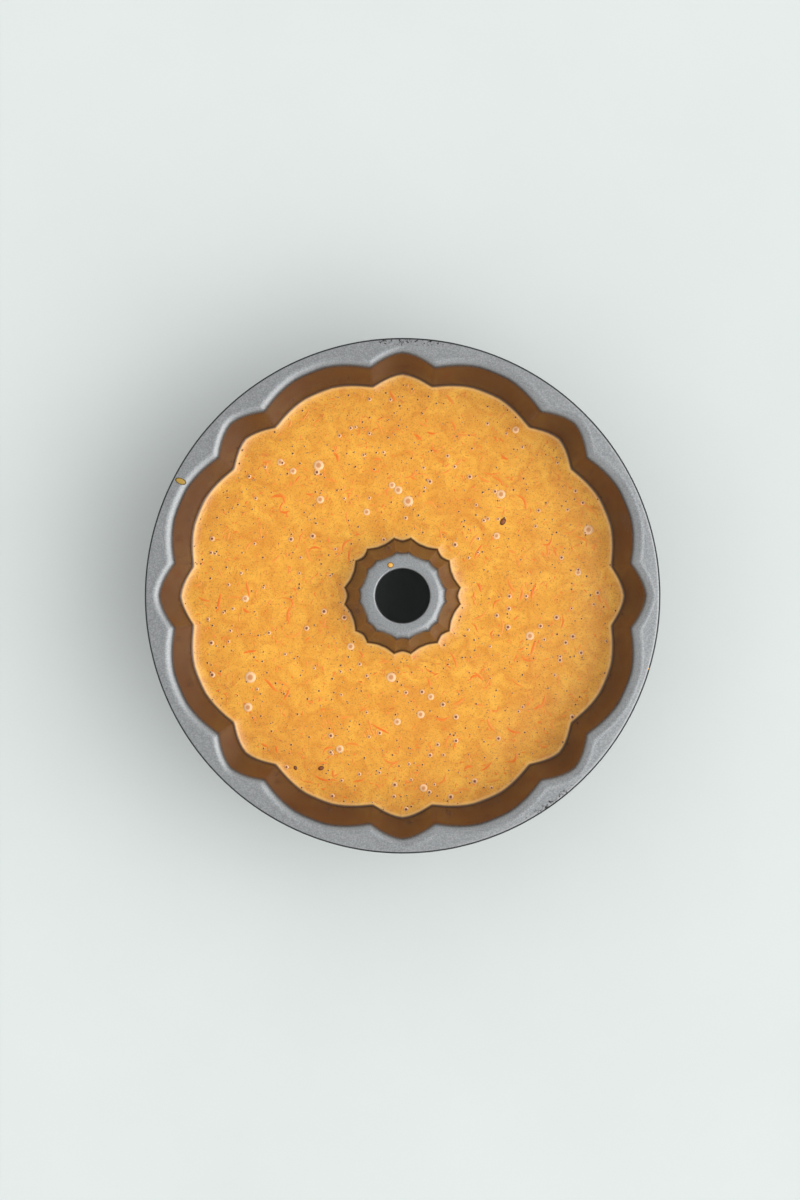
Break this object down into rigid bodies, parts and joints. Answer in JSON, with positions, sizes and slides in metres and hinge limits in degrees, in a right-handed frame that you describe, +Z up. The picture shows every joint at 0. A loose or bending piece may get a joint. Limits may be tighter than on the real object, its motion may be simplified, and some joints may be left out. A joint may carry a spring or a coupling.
{
  "type": "fluted ring cake pan",
  "caption": "Round fluted ring-cake pan of coated sheet steel, with a rolled rim over a wire and a fluted centre tube open through its crown.",
  "frame": {"origin": "centre of the pan's axis on the plane the channels' floors stand on", "axes": "+Z up along the pan's axis, +X through the middle of a narrow channel, +Y through the narrow channel a quarter turn on"},
  "size_m": [0.267, 0.267, 0.088],
  "materials": {
    "coated_steel": "grey non-stick coating on drawn steel sheet, satin",
    "drawn_wire": "zinc-coated drawn steel wire"
  },
  "bodies": {
    "root": {"fluted_shell": "coated_steel", "centre_tube": "coated_steel", "rim_wire": "drawn_wire"}
  },
  "joints": []
}
